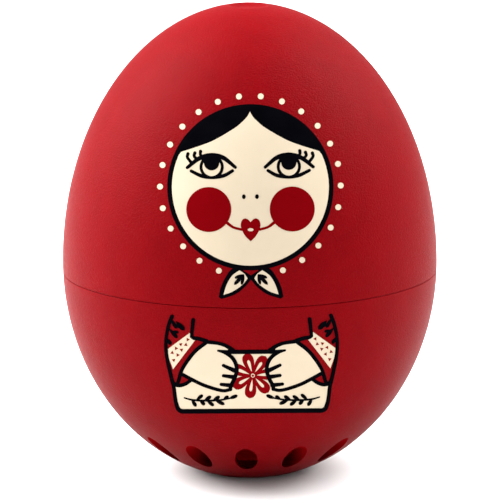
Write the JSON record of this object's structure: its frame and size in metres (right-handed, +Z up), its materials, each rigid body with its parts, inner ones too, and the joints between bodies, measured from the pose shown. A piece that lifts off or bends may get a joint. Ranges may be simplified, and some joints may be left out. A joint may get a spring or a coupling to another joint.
{
  "type": "egg timer",
  "caption": "Egg-shaped electronic timer that cooks beside the eggs; two shells on a quick-turn thread, sound holes round the base.",
  "frame": {"origin": "centre of the flat foot, on the surface the egg stands on", "axes": "+Z up along the egg's axis, printed front towards -Y, +X to the right hand of a person facing +Y"},
  "size_m": [0.0476, 0.0476, 0.0598],
  "materials": {
    "shell": "soft-touch satin red",
    "neck": "moulded red",
    "seal": "silicone, grey",
    "bulkhead": "moulded ivory",
    "steel": "turned",
    "bright_steel": "bright",
    "brass": "satin",
    "ceramic": "silvered",
    "red_insulation": "gloss",
    "black_insulation": "gloss",
    "board": "green solder mask",
    "chip": "moulded black",
    "capacitor": "fired tan",
    "resistor": "fired black",
    "solder": "bright",
    "holder": "moulded black",
    "bead": "dipped epoxy"
  },
  "bodies": {
    "base": {"lower_shell": "shell", "neck_ring": "neck", "bulkhead": "bulkhead", "bulkhead_seal": "seal", "ballast_ring": "steel", "standoffs": "brass", "buzzer_disc": "brass", "buzzer_ceramic": "ceramic", "buzzer_wire_red": "red_insulation", "buzzer_wire_black": "black_insulation", "probe_sleeve": "bright_steel", "probe_seal": "seal", "probe_retainer": "bright_steel", "thermistor": "bead", "thermistor_leads": "solder", "circuit_board": "board", "board_screws": "bright_steel", "controller_chip": "chip", "crystal": "bright_steel", "capacitors": "capacitor", "resistors": "resistor", "solder_joints": "solder", "battery_holder": "holder", "positive_contact": "bright_steel", "negative_contact": "bright_steel"},
    "seal": {"seam_seal": "seal"},
    "cap": {"upper_shell": "shell"},
    "cell": {"coin_cell": "bright_steel"}
  },
  "joints": [
    {"name": "cap_turn", "type": "hinge", "parent": "base", "child": "seal", "pos_m": [0, 0, 0.0305], "axis": [0, 0, 1], "range_deg": [0, 720]},
    {"name": "cap_rise", "type": "slide", "parent": "seal", "child": "cap", "axis": [0, 0, 1], "range_m": [0, 0.024]},
    {"name": "cell_lift", "type": "slide", "parent": "base", "child": "cell", "axis": [0, 0, 1], "range_m": [0, 0.012]}
  ],
  "couplings": [
    {"joint": "cap_rise", "follows": "cap_turn", "m_per_rad": 0.0019099}
  ]
}
